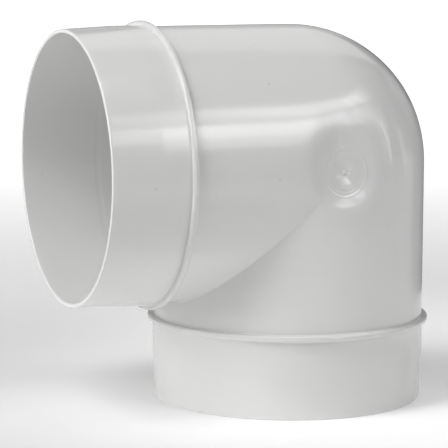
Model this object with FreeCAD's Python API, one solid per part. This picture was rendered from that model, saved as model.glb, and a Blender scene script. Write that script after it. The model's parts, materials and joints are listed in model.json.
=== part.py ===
import FreeCAD, Part
import math
import os

# A one-piece moulded 90 degree elbow for round, thin-walled PVC pipe. Two equal legs meet
# at the bend centre: one drops to the lower mouth, the other runs out to the side mouth.
# Each leg is a straight barrel, a stop bead and a spigot that a pipe is pushed over. The
# barrels are mitred into each other at the throat, a quarter of a sphere closes the heel,
# and the mark of the moulding gate sits on the cheek, level with the bend centre. Around
# the gate the cheek is flattened a little, outside and inside, so the wall stays as thick.
#
# The moulding is written as its named regions, which meet face to face and never overlap.
#
# Frame, in mm: origin at the centre of the lower mouth, +Z up the lower leg's axis, and
# the side mouth facing -X. The gate mark is on the -Y cheek.

# Driving dimensions
SPIGOT_D = 100.0
BODY_D = 99.4
TIP_D = 98.3
BORE_D = 95.4
CENTRE_TO_END = 87.0
SPIGOT_LENGTH = 28.3
LAND_LENGTH = 9.5
RIM_ROUND = 0.4
BEAD_D = 103.5
BEAD_WIDTH = 2.2
BEAD_FACE_ROUND = 0.8
BEAD_BACK_ROUND = 0.9
BEAD_FILLET = 0.5
SINK_DEPTH = 0.15
FLAT_DEPTH = 1.5
FLAT_SHIFT = 4.4
GATE_D = 17.0
GATE_RIDGE_WIDTH = 0.4
GATE_RIDGE_HEIGHT = 0.12
DIMPLE_D = 8.4
DIMPLE_DEPTH = 0.7
SPRUE_D = 1.8
SPRUE_TIP_D = 1.2
SPRUE_HEIGHT = 0.3
SPRUE_ROOT = 0.4

# Radii, and stations along a leg counted from the bend centre
SPIGOT_R = SPIGOT_D / 2
BODY_R = BODY_D / 2
TIP_R = TIP_D / 2
BORE_R = BORE_D / 2
BEAD_R = BEAD_D / 2
GATE_R = GATE_D / 2
BEAD_FACE = CENTRE_TO_END - SPIGOT_LENGTH
LAND_END = BEAD_FACE + LAND_LENGTH
BEAD_BACK = BEAD_FACE - BEAD_WIDTH
BARREL_END = BEAD_BACK - BEAD_FILLET

WALL = BODY_R - BORE_R
CLEAR = 10.0  # how far a cutting tool runs past what it cuts
FULL_TURN = 360.0

ORIGIN = FreeCAD.Vector(0, 0, 0)
UP = FreeCAD.Vector(0, 0, 1)
ACROSS = FreeCAD.Vector(0, 1, 0)
MITRE_FACING = FreeCAD.Vector(1, 0, -1)
TO_FRAME = FreeCAD.Vector(0, 0, CENTRE_TO_END)

# The cheek's flat: which way it faces, and how far it lies from the bend centre at the skin
FLAT_FACING = FreeCAD.Vector(FLAT_SHIFT, -BODY_R, FLAT_SHIFT).normalize()
FLAT_REACH = BODY_R - FLAT_DEPTH


def rounded_wire(corners):
    """A closed wire through points, each given with the radius that rounds its corner."""
    count = len(corners)
    stretches = []
    for i, (point, radius) in enumerate(corners):
        back = (corners[i - 1][0] - point).normalize()
        ahead = (corners[(i + 1) % count][0] - point).normalize()
        half = back.getAngle(ahead) / 2
        reach = radius / math.tan(half)
        middle = (back + ahead).normalize() * (radius / math.sin(half) - radius)
        stretches.append((point + back * reach, point + middle, point + ahead * reach))
    edges = []
    for i, (start, middle, end) in enumerate(stretches):
        if corners[i][1] > 0:
            edges.append(Part.Arc(start, middle, end).toShape())
        edges.append(Part.LineSegment(end, stretches[(i + 1) % count][0]).toShape())
    return Part.Wire(edges)


def on_leg(station, radius):
    """A point of a leg's profile, in the XZ plane, on a leg that runs down from the centre."""
    return FreeCAD.Vector(radius, 0, -station)


def turned(wire):
    """The wire's area turned once around the leg's axis."""
    return Part.Face(wire).revolve(ORIGIN, UP, FULL_TURN)


def make_spigot():
    """A straight land next to the bead, then a taper that leads the pipe on, and a round rim."""
    return turned(
        rounded_wire(
            [
                (on_leg(BEAD_FACE, BORE_R), 0),
                (on_leg(BEAD_FACE, SPIGOT_R), 0),
                (on_leg(LAND_END, SPIGOT_R), 0),
                (on_leg(CENTRE_TO_END, TIP_R), RIM_ROUND),
                (on_leg(CENTRE_TO_END, BORE_R), RIM_ROUND),
            ]
        )
    )


def make_stop_bead():
    """The rib that a pipe stops against, filleted into the barrel, with the sink behind it."""
    top = BEAD_R - BEAD_BACK_ROUND
    foot = BODY_R + BEAD_FILLET
    fillet_middle = BEAD_FILLET * (1 - math.sqrt(0.5))
    back_middle = BEAD_BACK_ROUND * (1 - math.sqrt(0.5))
    face_middle = BEAD_FACE_ROUND * (1 - math.sqrt(0.5))
    outline = [
        Part.LineSegment(on_leg(BEAD_FACE, BORE_R), on_leg(BEAD_FACE, BEAD_R - BEAD_FACE_ROUND)),
        Part.Arc(
            on_leg(BEAD_FACE, BEAD_R - BEAD_FACE_ROUND),
            on_leg(BEAD_FACE - face_middle, BEAD_R - face_middle),
            on_leg(BEAD_FACE - BEAD_FACE_ROUND, BEAD_R),
        ),
        Part.LineSegment(
            on_leg(BEAD_FACE - BEAD_FACE_ROUND, BEAD_R),
            on_leg(BEAD_BACK + BEAD_BACK_ROUND, BEAD_R),
        ),
        Part.Arc(
            on_leg(BEAD_BACK + BEAD_BACK_ROUND, BEAD_R),
            on_leg(BEAD_BACK + back_middle, BEAD_R - back_middle),
            on_leg(BEAD_BACK, top),
        ),
        Part.LineSegment(on_leg(BEAD_BACK, top), on_leg(BEAD_BACK, foot)),
        Part.Arc(
            on_leg(BEAD_BACK, foot),
            on_leg(BEAD_BACK - fillet_middle, BODY_R + fillet_middle),
            on_leg(BARREL_END, BODY_R),
        ),
        Part.LineSegment(on_leg(BARREL_END, BODY_R), on_leg(BARREL_END, BORE_R)),
        Part.Arc(
            on_leg(BARREL_END, BORE_R),
            on_leg((BARREL_END + BEAD_FACE) / 2, BORE_R + SINK_DEPTH),
            on_leg(BEAD_FACE, BORE_R),
        ),
    ]
    return turned(Part.Wire([piece.toShape() for piece in outline]))


def flattened(shape, reach):
    """What is left of a shape when all that lies beyond the plane of the flat is cut away."""
    size = 4 * BODY_R
    corner = FreeCAD.Vector(-size / 2, -size / 2, 0)
    beyond = Part.makeBox(size, size, size, corner)
    beyond.Placement = FreeCAD.Placement(FLAT_FACING * reach, FreeCAD.Rotation(UP, FLAT_FACING))
    return shape.cut(beyond)


def shell(outside, inside):
    """The wall between an outside and an inside shape, both flattened at the cheek."""
    return flattened(outside, FLAT_REACH).cut(flattened(inside, FLAT_REACH - WALL))


def make_barrel():
    """The straight part of a leg, from the bend to its bead, mitred on its throat side."""
    outside = Part.makeCylinder(BODY_R, BARREL_END, ORIGIN, -UP)
    inside = Part.makeCylinder(BORE_R, BARREL_END, ORIGIN, -UP)
    side = BODY_R + CLEAR
    keep = Part.makePolygon(
        [
            FreeCAD.Vector(0, -side, 0),
            FreeCAD.Vector(side, -side, 0),
            FreeCAD.Vector(side, -side, -side),
            FreeCAD.Vector(-side, -side, -side),
            FreeCAD.Vector(0, -side, 0),
        ]
    )
    return shell(outside, inside).common(Part.Face(keep).extrude(ACROSS * 2 * side))


def quarter_ball(radius):
    """The quarter of a ball that fills the bend's heel."""
    section = Part.Wire(
        [
            Part.Arc(-ACROSS * radius, FreeCAD.Vector(radius, 0, 0), ACROSS * radius).toShape(),
            Part.LineSegment(ACROSS * radius, -ACROSS * radius).toShape(),
        ]
    )
    return Part.Face(section).revolve(ORIGIN, -ACROSS, FULL_TURN / 4)


def make_heel():
    """A quarter of a spherical shell that closes the outside of the bend."""
    return shell(quarter_ball(BODY_R), quarter_ball(BORE_R))


def gate_plug(radius):
    """A round bar through the -Y cheek wall, centred on the gate."""
    start = FreeCAD.Vector(0, -BORE_R + CLEAR, 0)
    return Part.makeCylinder(radius, 2 * CLEAR, start, -ACROSS)


def cheek_skin(height):
    """All that lies within the bend's outer surface, raised by a height: heel and both legs."""
    radius = BODY_R + height
    ball = Part.makeSphere(radius, ORIGIN, ACROSS)
    down = Part.makeCylinder(radius, CLEAR, ORIGIN, -UP)
    out = Part.makeCylinder(radius, CLEAR, ORIGIN, FreeCAD.Vector(-1, 0, 0))
    return flattened(ball.fuse([down, out]), FLAT_REACH + height)


def make_gate_mark(wall):
    """The disc of wall at the gate: a witness ridge around it, a dimple and the sprue's stub."""
    ridge = gate_plug(GATE_R).cut(gate_plug(GATE_R - GATE_RIDGE_WIDTH))
    ridge = ridge.common(cheek_skin(GATE_RIDGE_HEIGHT)).cut(cheek_skin(0))
    disc = wall.common(gate_plug(GATE_R)).fuse(ridge)
    skin = FLAT_REACH / FLAT_FACING.dot(-ACROSS)
    dish_r = (DIMPLE_D**2 / 4 + DIMPLE_DEPTH**2) / (2 * DIMPLE_DEPTH)
    dish_centre = -ACROSS * (skin - DIMPLE_DEPTH + dish_r)
    disc = disc.cut(Part.makeSphere(dish_r, dish_centre, ACROSS))
    root = -ACROSS * (skin - DIMPLE_DEPTH - SPRUE_ROOT)
    stub = Part.makeCone(SPRUE_D / 2, SPRUE_TIP_D / 2, SPRUE_ROOT + SPRUE_HEIGHT, root, -ACROSS)
    return disc.fuse(stub).removeSplitter()


def lower(shape):
    """A leg's piece at the lower leg."""
    return shape.translated(TO_FRAME)


def sideways(shape):
    """A leg's piece at the side leg: its mirror image in the mitre plane."""
    return shape.mirror(ORIGIN, MITRE_FACING).translated(TO_FRAME)


def build():
    spigot = make_spigot()
    bead = make_stop_bead()
    barrel = make_barrel()
    heel = make_heel().translated(TO_FRAME)
    barrels = {"lower_barrel": lower(barrel), "side_barrel": sideways(barrel)}
    hole = gate_plug(GATE_R).translated(TO_FRAME)
    at_centre = [heel, barrels["lower_barrel"], barrels["side_barrel"]]
    wall = at_centre[0].fuse(at_centre[1:]).translated(-TO_FRAME)
    parts = {
        "lower_spigot": lower(spigot),
        "side_spigot": sideways(spigot),
        "lower_stop_bead": lower(bead),
        "side_stop_bead": sideways(bead),
        "heel": heel.cut(hole),
        "gate_mark": make_gate_mark(wall).translated(TO_FRAME),
    }
    for name, shape in barrels.items():
        parts[name] = shape.cut(hole)
    return parts


def export(parts):
    os.makedirs("parts", exist_ok=True)
    for name, shape in sorted(parts.items()):
        solids = shape.Solids
        print(f"{name}: {len(solids)} solid, {shape.Volume:.1f} mm3, valid {shape.isValid()}")
        if len(solids) == 1:
            shape = solids[0]
        shape.exportStep(f"parts/{name}.step")


export(build())
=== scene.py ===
import json
import math

import bpy
import numpy as np
from mathutils import Matrix, Vector


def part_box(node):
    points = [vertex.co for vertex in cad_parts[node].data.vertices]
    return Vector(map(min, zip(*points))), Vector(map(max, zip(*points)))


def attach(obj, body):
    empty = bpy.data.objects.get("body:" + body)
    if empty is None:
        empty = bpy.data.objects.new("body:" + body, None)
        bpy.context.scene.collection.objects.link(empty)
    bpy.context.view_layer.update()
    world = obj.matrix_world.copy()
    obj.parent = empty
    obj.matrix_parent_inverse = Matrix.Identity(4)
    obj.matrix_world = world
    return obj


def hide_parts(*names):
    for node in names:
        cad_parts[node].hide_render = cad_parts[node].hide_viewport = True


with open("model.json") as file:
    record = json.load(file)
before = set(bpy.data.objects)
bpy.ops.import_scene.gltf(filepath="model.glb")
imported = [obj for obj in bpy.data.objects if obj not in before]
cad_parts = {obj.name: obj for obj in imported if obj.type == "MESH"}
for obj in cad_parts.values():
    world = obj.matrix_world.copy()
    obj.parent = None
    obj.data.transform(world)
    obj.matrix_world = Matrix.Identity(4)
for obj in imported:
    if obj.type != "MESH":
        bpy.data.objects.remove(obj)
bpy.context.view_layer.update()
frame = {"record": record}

# The visual model of a moulded white PVC elbow. Each CAD node gets one closed mesh piece of its own.
# All geometry is worked out in millimetres from the bend centre and turned into metres at the end.
#
# Outside and inside, the bend is all that lies one radius away from the two legs' axes. A leg's
# points are given by an angle around its axis (0 faces the heel, -90 degrees the gate's cheek) and
# a station, the distance from the bend centre along the leg. The cheek's points are given by x and z.

MM = 0.001

# ---------------------------------------------------------------- sizes from the frame
mounts = {mount["name"]: mount for mount in frame["record"]["mounts"]}
heel_low, heel_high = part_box("heel")
CENTRE = Vector((0, 0, heel_low.z))
END = heel_low.z / MM
BODY_R = heel_high.x / MM
SPIGOT_R = mounts["lower_spigot_land"]["dims"]["r_mm"]
LAND = mounts["lower_spigot_land"]["dims"]["length_mm"]
BORE_R = mounts["lower_bore"]["dims"]["r_mm"]
BEAD_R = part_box("lower_stop_bead")[1].y / MM
BEAD_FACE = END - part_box("lower_spigot")[1].z / MM
BARREL_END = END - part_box("lower_stop_bead")[1].z / MM
GATE_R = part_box("gate_mark")[1].x / MM

# ---------------------------------------------------------------- sizes of the finer detail, mm
TIP_R = 49.15             # the spigot at its rim
RIM_ROUND = 0.4
BEAD_BACK = 2.2           # from the bead's face to its back
BEAD_FACE_ROUND = 0.8
BEAD_BACK_ROUND = 0.9
BEAD_FILLET = BEAD_FACE - BEAD_BACK - BARREL_END
SINK_DEPTH = 0.08         # the shallow sink inside, behind the bead
CREASE_ROUND = 0.5        # the fillet along the outside of the throat's crease
INNER_CREASE_ROUND = 0.3
FADE_REACH = 1.5          # the fillet's reach near the gate, where the crease fades out
FADE_START = 9.0
FADE_LENGTH = 6.0

# ---------------------------------------------------------------- the gate's mark and dish, mm
LIP_HEIGHT = 0.06         # the thin lip around the disc, uneven all around
LIP_WIDTH = 0.24
LIP_INSET = 0.15
LIP_UNEVEN = 0.25
STEP_DEPTH = 0.06         # inside the lip the disc steps down
STEP_WIDTH = 0.16
STEP_INSET = 0.55
RING_HEIGHT = 0.016       # turned rings between the lip and the dimple
RING_SPACING = 1.35
RINGS_MIDDLE = 6.2
RINGS_WIDTH = 1.5
RELIEF_REACH = 14.0
DIMPLE_R = 3.2
DIMPLE_DEPTH = 1.0
DISH_R = 16.0             # the depression of the cheek around the gate
DISH_DEPTH = 1.1
DISH_SHIFT = 4.4          # its middle, from the gate towards the heel along both legs
DISH_POWER = 3.5
BOWL_R = 11.7             # the bowl in it, right around the gate
BOWL_DEPTH = 1.6
BOWL_POWER = 4.5
BOWL_MIDDLE = (-0.8, 1.2)
# what the sprue left: height, x and z of its middle, squeeze along x, radius of its ring, width
SPRUE_MARKS = {
    "stub": (0.5, -0.1, 0.1, 1.0, 0.0, 0.55),
    "burr": (0.22, 1.7, -0.35, 0.7, 0.0, 0.4),
    "pip": (0.16, 1.9, 1.5, 1.0, 0.7, 0.22),
    "pit": (-0.1, 6.4, 0.3, 1.0, 0.0, 0.7),
}

# ---------------------------------------------------------------- the skin's slight waves, mm
STREAK_HEIGHT = 0.03      # upright flow streaks at the heel's side of the cheek
STREAK_SPACING = 6.2
STREAK_LEAN = 0.12
STREAK_START = 0.9        # radians
STREAKS_X = (20.0, 8.0)   # middle and width
STREAKS_Z = (-4.0, 24.0)
WAVE_SEED = 11
WAVE_LENGTH = 34.0
WAVE_HEIGHT = 0.02

# ---------------------------------------------------------------- the plastic
WHITE = 0.8               # its mean colour and roughness
ROUGHNESS = 0.15
BLUE_SHARE = 0.992        # a trace of warmth
# what each feature of the skin adds: height in mm, roughness, shade
SKIN_FEATURES = {
    "clouds": (0.0, 0.012, 0.006),
    "mottle": (0.0, 0.014, 0.004),
    "grain": (0.00009, 0.0, 0.0),
    "peel": (0.0007, 0.0, 0.0),
    "ripples": (0.0016, 0.0, 0.0),
    "rubbed": (0.0006, 0.07, -0.012),
    "dust": (0.006, 0.25, -0.16),
    "fine_dust": (0.003, 0.15, -0.08),
    # painted reflection streaks: colour only, standing in for reflections of lights down the heel's side
    "painted_reflection_streaks": (0.0, 0.0, 0.008),
    "turning": (0.0016, 0.05, 0.003),
    "drag": (0.0006, 0.02, 0.0015),
    "inside": (0.0, 0.05, 0.0),
}

# ---------------------------------------------------------------- how finely the pieces are cut
HEEL_COLUMNS = 114        # around a leg, from the gate over the heel to the far cheek
GATE_COLUMNS = 36         # around a leg, past the gate's disc
THROAT_COLUMNS = 116      # around a leg, from the gate by the throat to the far cheek
SEAM_COLUMNS = 60         # across the heel, from one leg to the other
BARREL_ROWS = 60
INNER_ROWS = 30
DISC_RINGS = 72
INNER_DISC_RINGS = 8
ROW_CROWDING = 1.7        # above 1, a barrel's rows crowd towards the crease
RADIUS_STEPS = 5          # a radius depends on the relief at its own place, and settles in this many
START_STEPS = 6           # the same, for where a barrel starts


# ================================================================ the bend's shape
def waves(points, seed, length, amount, count=14):
    """Smooth, seeded waviness: plane waves about `length` mm long in all directions."""
    rng = np.random.default_rng(seed)
    total = np.zeros(points.shape[:-1])
    for _ in range(count):
        direction = rng.normal(size=3)
        direction *= 2 * math.pi / (length * rng.uniform(0.7, 1.5) * np.linalg.norm(direction))
        total += np.sin(points @ direction + rng.uniform(0, 2 * math.pi))
    return total * amount / math.sqrt(count / 2)


def bell(distance, width):
    """1 in the middle, falling smoothly to nothing by about two widths."""
    return np.exp(-((distance / width) ** 2))


def dish(x, z):
    """How deep the cheek is hollowed: a wide dish towards the heel, and a bowl around the gate in it."""
    wide = np.hypot(x - DISH_SHIFT, z - DISH_SHIFT) / DISH_R
    near = np.hypot(x - BOWL_MIDDLE[0], z - BOWL_MIDDLE[1]) / BOWL_R
    return DISH_DEPTH * np.exp(-(wide**DISH_POWER)) + BOWL_DEPTH * np.exp(-(near**BOWL_POWER))


def gate_relief(x, z):
    """Height of the gate mark's relief at a place on the cheek."""
    away = np.hypot(x, z)
    turn = np.arctan2(z, x)
    lip = LIP_HEIGHT * bell(away - GATE_R + LIP_INSET, LIP_WIDTH)
    lip *= 1 - LIP_UNEVEN + LIP_UNEVEN * np.sin(turn * 2 + 0.6)
    step = -STEP_DEPTH / 2 * (1 + np.tanh((GATE_R - STEP_INSET - away) / STEP_WIDTH))
    rings = RING_HEIGHT * np.sin(away * 2 * math.pi / RING_SPACING)
    rings *= bell(away - RINGS_MIDDLE, RINGS_WIDTH)
    relief = lip + step + rings - DIMPLE_DEPTH * bell(away, DIMPLE_R)
    for height, middle_x, middle_z, squeeze, ring_radius, width in SPRUE_MARKS.values():
        from_middle = np.hypot((x - middle_x) * squeeze, z - middle_z)
        relief = relief + height * bell(from_middle - ring_radius, width)
    return relief


def swell(points):
    """How far the moulded outside stands off its true radius at points in mm from the bend centre."""
    x, y, z = points[..., 0], points[..., 1], points[..., 2]
    front = y < 0
    relief = np.where(front & (np.hypot(x, z) < RELIEF_REACH), gate_relief(x, z), 0.0)
    streaks = STREAK_HEIGHT * np.sin((x + STREAK_LEAN * z) * 2 * math.pi / STREAK_SPACING + STREAK_START)
    for value, (middle, width) in ((x, STREAKS_X), (z, STREAKS_Z)):
        streaks *= bell(value - middle, width)
    waviness = waves(points, WAVE_SEED, WAVE_LENGTH, WAVE_HEIGHT)
    return relief - dish(x, z) * front + streaks * front + waviness


def inner_swell(points):
    """The core follows the dish, so that the wall keeps its thickness there."""
    return -dish(points[..., 0], points[..., 2]) * (points[..., 1] < 0)


def leg_frame(angle, station, radius):
    """Points of the lower leg, in mm from the bend centre."""
    radius, angle, station = np.broadcast_arrays(radius, angle, station)
    return np.stack([radius * np.cos(angle), radius * np.sin(angle), -station], axis=-1)


def swapped(points):
    """The lower leg's points at the side leg: its mirror image in the mitre plane."""
    return points[..., [2, 1, 0]]


def smooth(value):
    """0 below 0, 1 above 1 and smooth in between."""
    value = np.clip(value, 0, 1)
    return value * value * (3 - 2 * value)


def crease_reach(points, radius, crease):
    """How far the crease's fillet reaches: little, and more near the gate, where it fades into the dish."""
    x, z = points[..., 0], points[..., 2]
    along = crease * (np.minimum(np.maximum(x, z), 0) / radius) ** 2
    near_gate = 1 - smooth((np.hypot(x, z) - FADE_START) / FADE_LENGTH)
    return along + FADE_REACH * near_gate * smooth(-(x + z) / FADE_LENGTH)


def rounding(own, other, reach):
    """A fillet's lift of the surface, where the distances to the legs' two axes are nearly equal."""
    reach = np.maximum(reach, 1e-9)
    share = np.clip(1 - np.abs(own - other) / reach, 0, 1)
    return share**2 * reach / 4


class Skin:
    """The outside or the inside of the bend: a radius, a crease fillet and a swell."""

    def __init__(self, radius, crease, relief):
        self.radius = radius
        self.crease = crease
        self.relief = relief

    def leg_radius(self, angle, station, side):
        """The distance from the leg's axis to the skin."""
        radius = np.full(np.broadcast(angle, station).shape, self.radius)
        for _ in range(RADIUS_STEPS):
            points = leg_frame(angle, station, radius)
            place = swapped(points) if side else points
            other = np.hypot(radius * np.sin(angle), station)
            reach = crease_reach(place, self.radius, self.crease)
            radius = self.radius + self.relief(place) + rounding(radius, other, reach)
        return radius

    def leg_point(self, angle, station, side):
        angle, station = np.broadcast_arrays(angle, station)
        points = leg_frame(angle, station, self.leg_radius(angle, station, side))
        return swapped(points) if side else points

    def leg_start(self, angle, side):
        """The station where the barrel starts: on the mitre, the heel's seam or the gate's disc."""
        station = self.radius * np.maximum(-np.cos(angle), 0)
        for _ in range(START_STEPS):
            radius = self.leg_radius(angle, station, side)
            mitre = radius * np.maximum(-np.cos(angle), 0)
            across = radius * np.cos(angle)
            disc = np.sqrt(np.maximum(GATE_R**2 - across**2, 0)) * (np.sin(angle) < 0)
            station = np.maximum(mitre, disc)
        return station

    def heel_radius(self, direction):
        radius = np.full(direction.shape[:-1], self.radius)
        for _ in range(START_STEPS):
            radius = self.radius + self.relief(direction * radius[..., None])
        return radius

    def heel_point(self, polar, turn):
        """polar is the angle from the gate's axis, turn the angle about it from the lower leg's seam."""
        polar, turn = np.broadcast_arrays(polar, turn)
        direction = np.stack(
            [np.sin(polar) * np.cos(turn), -np.cos(polar), np.sin(polar) * np.sin(turn)], axis=-1
        )
        return direction * self.heel_radius(direction)[..., None]

    def heel_start(self, turn):
        """The polar angle at which the heel starts, at the gate's disc."""
        rim = self.cheek_point(np.full(turn.shape, GATE_R), turn)
        return np.arctan2(GATE_R, -rim[..., 1])

    def cheek_point(self, away, turn):
        """A point of the gate's disc, away from the gate's axis and turned about it from +X."""
        x, z = away * np.cos(turn), away * np.sin(turn)
        on_heel = (x >= 0) & (z >= 0)
        own = np.where(on_heel, away, np.where(x >= z, np.abs(x), np.abs(z)))
        y = -np.sqrt(self.radius**2 - own**2)
        for _ in range(RADIUS_STEPS):
            points = np.stack([x, y, z], axis=-1)
            reach = crease_reach(points, self.radius, self.crease)
            lift = rounding(np.hypot(x, y), np.hypot(y, z), reach)
            y = -np.sqrt((self.radius + self.relief(points) + lift) ** 2 - own**2)
        return np.stack([x, y, z], axis=-1)


OUTSIDE = Skin(BODY_R, CREASE_ROUND, swell)
INSIDE = Skin(BORE_R, INNER_CREASE_ROUND, inner_swell)


def column_angles(skin, side):
    """The angles of a leg's columns, once around, so that those past the gate meet its disc's points."""
    turns = np.linspace(0, -0.75 * math.pi, GATE_COLUMNS + 1)
    places = math.pi / 2 - turns if side else turns
    rim = skin.cheek_point(np.full(places.shape, GATE_R), places)
    across = rim[:, 2] if side else rim[:, 0]
    past_gate = np.arctan2(rim[:, 1], across)
    heel_side = np.linspace(math.pi / 2, past_gate[0], HEEL_COLUMNS + 1)[:-1]
    throat_side = np.linspace(past_gate[-1], -1.5 * math.pi, THROAT_COLUMNS + 1)[1:]
    return np.concatenate([heel_side, past_gate, throat_side])


# ================================================================ from points to pieces
NUDGE = 1e-4  # the step in mm or radians between the points that a normal is worked out from


def sheet(place, rows, columns):
    """A grid of points and its normals. `place` gives the points for arrays of rows and columns."""
    points = place(rows, columns)
    along = place(rows + NUDGE, columns) - place(rows - NUDGE, columns)
    around = place(rows, columns + NUDGE) - place(rows, columns - NUDGE)
    normals = np.cross(around, along)
    size = np.linalg.norm(normals, axis=-1, keepdims=True)
    return points, normals / np.maximum(size, 1e-12)


def strip(first, second):
    """The flat band between two rows of points, with no normals of its own."""
    return np.stack([first, second]), None


class Piece:
    """Gathers grids of points into one closed mesh with exact normals."""

    def __init__(self):
        self.points = []
        self.normals = []
        self.faces = []
        self.count = 0

    def add(self, grid, flip=False):
        points, normals = grid
        rows, columns = points.shape[:2]
        ids = self.count + np.arange(rows * columns).reshape(rows, columns)
        corners = np.stack([ids[:-1, :-1], ids[:-1, 1:], ids[1:, 1:], ids[1:, :-1]], axis=-1)
        corners = corners.reshape(-1, 4)
        if flip:
            corners = corners[:, ::-1]
        flat = points.reshape(-1, 3)
        if normals is None:
            normals = np.full(flat.shape, np.nan)
        self.points.append(flat)
        self.normals.append(normals.reshape(-1, 3))
        self.faces.append(corners)
        self.count += rows * columns

    def build(self, name, material, node):
        """One Blender object, in metres and in place. Points that coincide become one."""
        points = np.concatenate(self.points)
        normals = np.concatenate(self.normals)
        corners = np.concatenate(self.faces)
        _, first, merged = np.unique(np.round(points, 5), axis=0, return_index=True, return_inverse=True)
        merged = merged.reshape(-1)
        faces = []
        looks = []
        flats = []
        for face in corners:
            ids = merged[face]
            keep = [i for i in range(4) if ids[i] != ids[i - 1]]
            if len(keep) < 3:
                continue
            faces.append([int(ids[i]) for i in keep])
            looks.append(normals[face[keep]])
            flats.append(bool(np.isnan(looks[-1]).any()))
        mesh = bpy.data.meshes.new(name)
        mesh.from_pydata((points[first] * MM + np.array(CENTRE)).tolist(), [], faces)
        mesh.shade_smooth()
        face_normals = np.zeros(len(mesh.polygons) * 3)
        mesh.polygons.foreach_get("normal", face_normals)
        face_normals = face_normals.reshape(-1, 3)
        loops = []
        for i, look in enumerate(looks):
            if flats[i]:
                loops.extend([tuple(face_normals[i])] * len(look))
                continue
            sign = 1.0 if float(look.sum(axis=0) @ face_normals[i]) > 0 else -1.0
            loops.extend(tuple(n) for n in look * sign)
        mesh.normals_split_custom_set(loops)
        obj = bpy.data.objects.new(name, mesh)
        bpy.context.scene.collection.objects.link(obj)
        mesh.materials.append(material)
        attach(obj, "root")
        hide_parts(node)
        return obj


# ================================================================ the legs' turned profiles
def arc(centre_station, centre_radius, size, start, end, steps):
    """Points of an arc in a leg's profile. Angles in degrees: 0 points outwards, 90 to the mouth."""
    angles = np.radians(np.linspace(start, end, steps + 1))
    stations = centre_station + size * np.sin(angles)
    return np.stack([stations, centre_radius + size * np.cos(angles)], axis=-1)


def line(first, last, steps):
    return np.linspace(first, last, steps + 1)


def joined(*stretches):
    """The stretches end to end, without the points that they share."""
    kept = [stretches[0]]
    for stretch in stretches[1:]:
        same = np.linalg.norm(stretch[0] - kept[-1][-1]) < 1e-6
        kept.append(stretch[1:] if same else stretch)
    return np.concatenate(kept)


def profile_normals(profile):
    """The normals along a profile: each is the mean of its two neighbouring steps' normals."""
    steps = np.diff(profile, axis=0)
    normals = np.stack([-steps[:, 1], steps[:, 0]], axis=-1)
    normals /= np.linalg.norm(normals, axis=1, keepdims=True)
    ends = np.concatenate([normals[:1], normals[:-1] + normals[1:], normals[-1:]])
    return ends / np.linalg.norm(ends, axis=1, keepdims=True)


def turned(profile, angles, side):
    """The profile turned around a leg: a grid of points with a row for each place of the profile."""
    normals = profile_normals(profile)
    points = leg_frame(angles[None, :], profile[:, :1], profile[:, 1:])
    looks = leg_frame(angles[None, :], normals[:, :1], normals[:, 1:])
    if side:
        points, looks = swapped(points), swapped(looks)
    return points, looks


def spigot_profile():
    """Outside from the bead to the mouth, then around the rim: a land, a taper and a rounded lip."""
    land_end = BEAD_FACE + LAND
    slope = math.degrees(math.atan2(SPIGOT_R - TIP_R, END - land_end))
    rim_outer = arc(END - RIM_ROUND, TIP_R - RIM_ROUND, RIM_ROUND, slope, 90, 8)
    rim_inner = arc(END - RIM_ROUND, BORE_R + RIM_ROUND, RIM_ROUND, 90, 180, 8)
    return joined(
        line((BEAD_FACE, SPIGOT_R), (land_end, SPIGOT_R), 12),
        line((land_end, SPIGOT_R), rim_outer[0], 22),
        rim_outer,
        rim_inner,
        line(rim_inner[-1], (BEAD_FACE, BORE_R), 26),
    )


def bead_profile():
    """Outside from the barrel's end over the fillet, back, crown and face to the spigot."""
    back = BEAD_FACE - BEAD_BACK
    foot = BODY_R + BEAD_FILLET
    fillet = arc(BARREL_END, foot, BEAD_FILLET, 180, 90, 8)
    back_round = arc(back + BEAD_BACK_ROUND, BEAD_R - BEAD_BACK_ROUND, BEAD_BACK_ROUND, -90, 0, 8)
    face = BEAD_FACE - BEAD_FACE_ROUND
    face_round = arc(face, BEAD_R - BEAD_FACE_ROUND, BEAD_FACE_ROUND, 0, 90, 6)
    return joined(
        fillet,
        line(fillet[-1], back_round[0], 2),
        back_round,
        line(back_round[-1], face_round[0], 3),
        face_round,
        line(face_round[-1], (BEAD_FACE, SPIGOT_R), 3),
    )


def sink_profile():
    """Inside the bead, from its face back to the barrel: a shallow sink."""
    stations = np.linspace(BEAD_FACE, BARREL_END, 13)
    along = (stations - BEAD_FACE) / (BARREL_END - BEAD_FACE)
    return np.stack([stations, BORE_R + SINK_DEPTH * np.sin(math.pi * along)], axis=-1)


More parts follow.
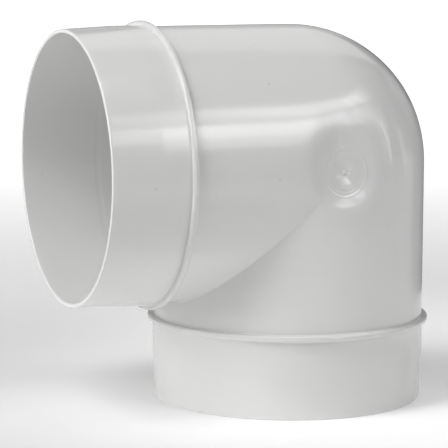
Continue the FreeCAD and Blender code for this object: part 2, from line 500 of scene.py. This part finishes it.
# ================================================================ materials
class Graph:
    """A material whose nodes are made and joined by short calls. Lengths in it are in mm."""

    def __init__(self, name):
        self.material = bpy.data.materials.new(name)
        self.material.use_nodes = True
        self.nodes = self.material.node_tree.nodes
        self.links = self.material.node_tree.links
        self.shader = self.nodes["Principled BSDF"]

    def node(self, kind, *inputs, **settings):
        """A node with its first inputs joined or set, and its settings."""
        made = self.nodes.new(kind)
        for key, value in settings.items():
            setattr(made, key, value)
        for socket, value in zip(made.inputs, inputs):
            self.give(socket, value)
        return made

    def give(self, socket, value):
        if isinstance(value, bpy.types.NodeSocket):
            self.links.new(value, socket)
        elif value is not None:
            socket.default_value = value

    def math(self, operation, first, second=0.0, third=0.0):
        return self.node("ShaderNodeMath", first, second, third, operation=operation).outputs[0]

    def scaled(self, vector, scale):
        return self.node("ShaderNodeVectorMath", vector, scale, operation="MULTIPLY").outputs[0]

    def length(self, vector):
        return self.node("ShaderNodeVectorMath", vector, operation="LENGTH").outputs["Value"]

    def noise(self, vector, size, detail=2.0, roughness=0.5):
        """Noise from about -1 to 1 with features of a size in mm."""
        made = self.node("ShaderNodeTexNoise", vector)
        made.inputs["Scale"].default_value = 1.0 / size
        made.inputs["Detail"].default_value = detail
        made.inputs["Roughness"].default_value = roughness
        return self.math("MULTIPLY_ADD", made.outputs[0], 4.0, -2.0)

    def ramp(self, value, start, end):
        """0 before start, 1 after end and smooth in between. start may be the larger."""
        made = self.node("ShaderNodeMapRange", value, interpolation_type="SMOOTHSTEP")
        made.inputs["From Min"].default_value = start
        made.inputs["From Max"].default_value = end
        return made.outputs[0]

    def total(self, *terms):
        """The sum of (value, factor) terms."""
        made = 0.0
        for value, factor in terms:
            made = self.math("MULTIPLY_ADD", value, factor, made)
        return made


def specks(graph, place, cell, radius, share):
    """Small ragged dust specks, one at most in each cell of about `cell` mm, in a share of the cells."""
    ragged = graph.node("ShaderNodeTexNoise", place)
    ragged.inputs["Scale"].default_value = 1.4
    half = (0.5, 0.5, 0.5)
    shifted = graph.node("ShaderNodeVectorMath", ragged.outputs[1], half, operation="MULTIPLY_ADD")
    graph.give(shifted.inputs[2], place)
    cells = graph.node("ShaderNodeTexVoronoi", shifted.outputs[0])
    cells.inputs["Scale"].default_value = 1.0 / cell
    dot = graph.ramp(cells.outputs["Distance"], radius / cell, 0.1 * radius / cell)
    chance = graph.node("ShaderNodeSeparateColor", cells.outputs["Color"]).outputs[0]
    return graph.math("MULTIPLY", dot, graph.math("LESS_THAN", chance, share))


def bend_features(graph, place, parts):
    """The features of the skin that are everywhere or around the gate, and painted reflection streaks on
    the heel's side.
    """
    made = {
        "clouds": graph.noise(place, 30.0, 3.0),
        "mottle": graph.noise(place, 5.0, 3.0, 0.6),
        "grain": graph.noise(place, 0.45, 1.0),
        "peel": graph.noise(place, 2.6, 1.0),
        "dust": specks(graph, place, 9.0, 0.75, 0.2),
        "fine_dust": specks(graph, place, 4.0, 0.35, 0.14),
    }
    rubs = graph.noise(graph.scaled(place, (0.4, 0.4, 1.0)), 7.0, 3.0)
    made["rubbed"] = graph.ramp(rubs, 0.75, 1.5)

    # ripples of the melt's front around the gate, out to some 40 mm, on the gate's cheek only
    from_gate = graph.length(graph.scaled(place, (1.0, 0.0, 1.0)))
    unevenness = graph.math("MULTIPLY", made["clouds"], 0.4)
    ripple_place = graph.node("ShaderNodeCombineXYZ", from_gate, unevenness).outputs[0]
    ripples = graph.noise(ripple_place, 3.4, 1.0)
    ripples = graph.math("MULTIPLY", ripples, graph.ramp(from_gate, 44.0, 24.0))
    made["ripples"] = graph.math("MULTIPLY", ripples, graph.ramp(parts["Y"], -8.0, -24.0))

    # painted reflection streaks: faint upright lighter and darker streaks in the colour, down the heel's
    # side into the lower leg, standing in for reflections of lights
    painted_reflection_streaks = graph.noise(graph.scaled(place, (1.0, 1.0, 0.03)), 5.0, 1.0)
    made["painted_reflection_streaks"] = graph.math("MULTIPLY", painted_reflection_streaks, graph.ramp(parts["X"], 4.0, 14.0))
    return made


def leg_features(graph, place, parts, axis):
    """What only a leg has: tool marks around its outside, and the core's drag marks along its bore."""
    along = {"X": (1.0, 0.03, 0.03), "Z": (0.03, 0.03, 1.0)}[axis]
    across = {"X": (0.02, 1.0, 1.0), "Z": (1.0, 1.0, 0.02)}[axis]
    radial = {"X": (0.0, 1.0, 1.0), "Z": (1.0, 1.0, 0.0)}[axis]
    faces = graph.node("ShaderNodeNewGeometry").outputs["True Normal"]
    from_axis = graph.scaled(place, radial)
    away = graph.node("ShaderNodeVectorMath", from_axis, faces, operation="DOT_PRODUCT")
    outside = graph.math("GREATER_THAN", away.outputs["Value"], 0.0)
    inside = graph.math("SUBTRACT", 1.0, outside)
    past_bend = graph.math("MULTIPLY", graph.ramp(parts[axis], -8.0, -26.0), outside)
    turning = graph.noise(graph.scaled(place, along), 1.5, 2.0, 0.7)
    drag = graph.noise(graph.scaled(place, across), 1.6, 2.0)
    return {
        "turning": graph.math("MULTIPLY", turning, past_bend),
        "drag": graph.math("MULTIPLY", drag, inside),
        "inside": inside,
    }


def pvc(name, axis):
    """Glossy moulded white PVC. axis is the leg's own, "X" or "Z", or None for the bend."""
    graph = Graph(name)
    metres = graph.node("ShaderNodeTexCoord").outputs["Object"]
    from_floor = graph.scaled(metres, (1 / MM, 1 / MM, 1 / MM))
    place = graph.node("ShaderNodeVectorMath", from_floor, (0, 0, -END), operation="ADD").outputs[0]
    parts = graph.node("ShaderNodeSeparateXYZ", place).outputs
    features = bend_features(graph, place, parts)
    if axis:
        features |= leg_features(graph, place, parts, axis)

    def summed(column):
        shares = ((made, SKIN_FEATURES[key][column]) for key, made in features.items())
        return graph.total(*((made, share) for made, share in shares if share))

    height, dullness, shade = (summed(column) for column in range(3))
    value = graph.math("ADD", shade, WHITE)
    blue = graph.math("MULTIPLY", value, BLUE_SHARE)
    colour = graph.node("ShaderNodeCombineColor", value, value, blue)
    graph.give(graph.shader.inputs["Base Color"], colour.outputs[0])
    graph.give(graph.shader.inputs["Roughness"], graph.math("ADD", dullness, ROUGHNESS))
    bump = graph.node("ShaderNodeBump")
    bump.inputs["Distance"].default_value = MM
    graph.give(bump.inputs["Height"], height)
    graph.give(graph.shader.inputs["Normal"], bump.outputs[0])
    return graph.material


def plain(name, shade, roughness):
    """A plain grey material, for the studio's floor and cards."""
    graph = Graph(name)
    graph.shader.inputs["Base Color"].default_value = (shade, shade, shade, 1)
    graph.shader.inputs["Roughness"].default_value = roughness
    return graph


# ================================================================ the pieces
def barrel(name, material, node, side):
    piece = Piece()
    rows = np.linspace(0, 1, BARREL_ROWS + 1) ** ROW_CROWDING
    inner_rows = np.linspace(0, 1, INNER_ROWS + 1) ** ROW_CROWDING
    edges = []
    for skin, shares, flip in ((OUTSIDE, rows, side), (INSIDE, inner_rows, not side)):
        angles = column_angles(skin, side)
        start = skin.leg_start(angles, side)
        stations = start[None, :] + shares[:, None] * (BARREL_END - start)[None, :]
        columns = np.broadcast_to(angles[None, :], stations.shape)
        points, normals = sheet(lambda s, a: skin.leg_point(a, s, side), stations, columns)
        piece.add((points, normals), flip)
        edges.append((points[0], points[-1]))
    piece.add(strip(edges[1][0], edges[0][0]), side)
    piece.add(strip(edges[0][1], edges[1][1]), side)
    return piece.build(name, material, node)


def heel(name, material, node):
    piece = Piece()
    edges = []
    for skin in (OUTSIDE, INSIDE):
        turn = np.linspace(0, math.pi / 2, SEAM_COLUMNS + 1)
        shares = np.linspace(0, 1, HEEL_COLUMNS + 1)
        start = skin.heel_start(turn)
        rows = start[None, :] + shares[:, None] * (math.pi - start)[None, :]
        columns = np.broadcast_to(turn[None, :], rows.shape)
        points, normals = sheet(skin.heel_point, rows, columns)
        piece.add((points, normals), skin is OUTSIDE)
        edges.append(points)
    outer, inner = edges
    piece.add(strip(outer[0], inner[0]))
    piece.add(strip(outer[:, 0], inner[:, 0]), True)
    piece.add(strip(outer[:, -1], inner[:, -1]))
    return piece.build(name, material, node)


def gate_mark(name, material, node):
    piece = Piece()
    # from the throat by the lower leg, the heel and the side leg back to it, in half turns
    sectors = ((-0.75, 0.0, GATE_COLUMNS), (0.0, 0.5, SEAM_COLUMNS), (0.5, 1.25, GATE_COLUMNS))
    turns = [np.linspace(first, last, count + 1)[:-1] for first, last, count in sectors]
    turn = np.concatenate([*turns, [1.25]]) * math.pi
    edges = []
    for skin, rings in ((OUTSIDE, DISC_RINGS), (INSIDE, INNER_DISC_RINGS)):
        away = np.linspace(0, GATE_R, rings + 1)
        rows, columns = np.meshgrid(away, turn, indexing="ij")
        points, normals = sheet(skin.cheek_point, rows, columns)
        piece.add((points, normals), skin is OUTSIDE)
        edges.append(points[-1])
    piece.add(strip(edges[1], edges[0]))
    return piece.build(name, material, node)


def ring(name, material, node, side, outer_profile, inner_profile):
    """A piece turned around a leg: its outside and its inside, closed by a band at each end."""
    piece = Piece()
    outer_angles = column_angles(OUTSIDE, side)
    inner_angles = column_angles(INSIDE, side)
    outer = turned(outer_profile, outer_angles, side)
    inner = turned(inner_profile, inner_angles, side)
    piece.add(outer, side)
    piece.add(inner, side)
    piece.add(strip(outer[0][-1], inner[0][0]), side)
    piece.add(strip(inner[0][-1], outer[0][0]), side)
    return piece.build(name, material, node)


def spigot(name, material, node, side):
    profile = spigot_profile()
    middle = int(np.argmax(profile[:, 0] > END - 1e-9)) + 1
    return ring(name, material, node, side, profile[:middle], profile[middle - 1:])


def bead(name, material, node, side):
    return ring(name, material, node, side, bead_profile(), sink_profile())


pvc_bend = pvc("pvc_bend", None)
gate_mark("gate_mark_moulded", pvc_bend, "gate_mark")
heel("heel_moulded", pvc_bend, "heel")
for leg, side in (("lower", False), ("side", True)):
    pvc_leg = pvc(f"pvc_{leg}_leg", "X" if side else "Z")
    barrel(f"{leg}_barrel_moulded", pvc_leg, f"{leg}_barrel", side)
    bead(f"{leg}_stop_bead_moulded", pvc_leg, f"{leg}_stop_bead", side)
    spigot(f"{leg}_spigot_moulded", pvc_leg, f"{leg}_spigot", side)

# ================================================================ the studio
VIEW_AZIMUTH = math.radians(-23.22)
VIEW_ELEVATION = math.radians(7.95)
VIEW_ROLL = math.radians(0.31)
VIEW_DISTANCE = 0.8262
VIEW_TARGET = CENTRE + Vector((-0.02298, 0.00626, -0.02366))
LENS_MM = 180.57
SENSOR_MM = 36.0


def towards(azimuth, elevation):
    """The direction at an azimuth and elevation in radians: azimuth 0 is -Y, and 90 degrees is +X."""
    flat = math.cos(elevation)
    return Vector((math.sin(azimuth) * flat, -math.cos(azimuth) * flat, math.sin(elevation)))


def facing_back(direction):
    """The turn of a camera or light that stands in a direction and looks back."""
    return direction.to_track_quat("Z", "Y").to_matrix().to_4x4()


def linked(name, data):
    made = bpy.data.objects.new(name, data)
    bpy.context.scene.collection.objects.link(made)
    return made


def card(name, corners, material):
    """A flat card of the studio, from its four corners."""
    mesh = bpy.data.meshes.new(name)
    mesh.from_pydata(corners, [], [(0, 1, 2, 3)])
    mesh.materials.append(material)
    return linked(name, mesh)


def add_camera():
    data = bpy.data.cameras.new("camera")
    data.lens = LENS_MM
    data.sensor_width = SENSOR_MM
    camera = linked("camera", data)
    back = towards(VIEW_AZIMUTH, VIEW_ELEVATION)
    place = Matrix.Translation(VIEW_TARGET + back * VIEW_DISTANCE)
    camera.matrix_world = place @ facing_back(back) @ Matrix.Rotation(VIEW_ROLL, 4, "Z")
    bpy.context.scene.camera = camera


# The floor's own glow stands for the lights on the background: full behind the elbow as the camera
# sees it, and weaker far off on the other sides. Close around the elbow a faint glow is a painted pool
# of light, which lifts the floor's shade there and lights the elbow from below. Each is its strength,
# and the distances in metres where it starts and where it is full.
GLOW_BEHIND = (0.85, 0.0, 1.1)
GLOW_FAR = (0.4, 1.2, 2.6)
GLOW_NEAR = (0.19, 0.26, 0.08)
GLOW_NEAR_MIDDLE = (0.09, -0.03, 0)
FLOOR_HALF = 6.0
FLOOR_SHADE = 0.92
MATT = 0.9                # the roughness of paper and cloth


def add_floor():
    graph = plain("floor_paper", FLOOR_SHADE, MATT)
    place = graph.node("ShaderNodeTexCoord").outputs["Object"]
    backwards = -towards(VIEW_AZIMUTH, 0)
    behind = graph.node("ShaderNodeVectorMath", place, backwards, operation="DOT_PRODUCT")
    near = graph.node("ShaderNodeVectorMath", place, GLOW_NEAR_MIDDLE, operation="DISTANCE")
    glows = (
        (behind.outputs["Value"], GLOW_BEHIND),
        (graph.length(place), GLOW_FAR),
        (near.outputs["Value"], GLOW_NEAR),
    )
    ramps = ((graph.ramp(value, start, full), strength) for value, (strength, start, full) in glows)
    glow = graph.total(*ramps)
    graph.give(graph.shader.inputs["Emission Strength"], glow)
    graph.shader.inputs["Emission Color"].default_value = (1, 1, 1, 1)
    signs = ((-1, -1), (1, -1), (1, 1), (-1, 1))
    floor = card("floor", [(x * FLOOR_HALF, y * FLOOR_HALF, 0) for x, y in signs], graph.material)


def add_world(strength):
    world = bpy.data.worlds.new("studio")
    world.use_nodes = True
    background = world.node_tree.nodes["Background"]
    background.inputs["Color"].default_value = (1, 1, 1, 1)
    background.inputs["Strength"].default_value = strength
    bpy.context.scene.world = world


LIGHT_DISTANCE = 1.5
TWIN_GAP = 0.01           # a gloss-only light stands this far behind its twin
# name, azimuth and elevation in degrees, width and height in metres, power in watts, and power that
# is seen only in the gloss
SOFTBOXES = (
    ("window", -75, 51, 0.5, 0.86, 10.3, 0.0),
    ("window_low", -75, 25, 0.5, 0.35, 2.5, 0.0),
    ("left_rear", -98, 12, 0.5, 0.5, 5.0, 0.0),
    ("left_far", -110, 6, 0.5, 0.3, 2.4, 0.0),
    ("strip_left", 12.5, 28.5, 0.24, 0.3, 0.0, 0.6),
    ("strip_low", 24, 20.5, 0.36, 0.2, 0.6, 0.2),
    ("strip", 24, 29.5, 0.36, 0.26, 1.55, 0.5),
    ("strip_side", 38, 27, 0.36, 0.34, 0.9, 0.3),
    ("strip_right", 52, 27, 0.36, 0.34, 0.4, 0.5),
    ("strip_far", 65, 22, 0.3, 0.5, 0.0, 0.35),
    ("strip_edge", 60, 9, 0.14, 0.62, 0.0, 0.8),
    ("strip_rear_edge", 84, 5, 0.2, 0.42, 0.0, 0.3),
    ("upper_strip", 24, 41, 0.36, 0.24, 0.5, 0.17),
    ("upper_strip_side", 38, 41, 0.36, 0.28, 0.95, 0.35),
    ("upper_strip_right", 52, 41, 0.36, 0.28, 0.25, 1.0),
    ("upper_strip_far", 65, 41, 0.36, 0.28, 0.0, 0.6),
    ("right_low", 88, 10, 0.6, 0.4, 0.25, 0.0),
    ("right_rear", 118, 14, 0.6, 0.5, 0.35, 0.0),
    ("rear", 157, 15, 0.6, 0.4, 0.25, 0.0),
    ("rear_top", 142, 43, 0.9, 1.0, 2.4, 0.0),
    ("top", -23, 75, 0.9, 0.5, 3.5, 0.0),
)
# name, azimuth in degrees, distance of the near edge, width, rise and reach to the far edge in
# metres, shade
FLAGS = (
    ("front_flag", 30, 0.55, 0.6, 0.11, 0.0, 0.03),
    ("floor_flag", 18, 0.05, 0.24, 0.001, 0.18, 0.5),
    ("right_flag", 122, 0.24, 0.26, 0.11, 0.0, 0.12),
    ("left_flag", 192, 0.3, 0.28, 0.11, 0.0, 0.12),
)


FLAG_LIFT = 0.001         # above the floor


def add_flag(name, azimuth, distance, width, rise, reach, shade):
    """A studio's dark flag that is seen only in the gloss: it ends a reflection or darkens an edge."""
    out = towards(math.radians(azimuth), 0)
    across = Vector((-out.y, out.x, 0)) * width / 2
    foot = out * distance + Vector((0, 0, FLAG_LIFT))
    top = foot + out * reach + Vector((0, 0, rise))
    corners = [foot - across, foot + across, top + across, top - across]
    flag = card(name, corners, plain(name, shade, MATT).material)
    flag.visible_camera = False
    flag.visible_diffuse = False
    flag.visible_shadow = False


def add_softbox(name, azimuth, elevation, width, height, power, distance=LIGHT_DISTANCE):
    """A softbox that faces the elbow's middle, at an azimuth and elevation seen from it."""
    data = bpy.data.lights.new(name, "AREA")
    data.shape = "RECTANGLE"
    data.size = width
    data.size_y = height
    data.energy = power
    light = linked(name, data)
    back = towards(math.radians(azimuth), math.radians(elevation))
    light.matrix_world = Matrix.Translation(CENTRE + back * distance) @ facing_back(back)
    return light


add_camera()
add_floor()
for flag in FLAGS:
    add_flag(*flag)
add_world(0.0)
for name, *place_and_size, power, gloss_power in SOFTBOXES:
    if power:
        add_softbox(name, *place_and_size, power)
    if gloss_power:
        twin = add_softbox(f"{name}_gloss", *place_and_size, gloss_power, LIGHT_DISTANCE + TWIN_GAP)
        twin.visible_diffuse = False
bpy.context.scene.view_settings.view_transform = "Standard"
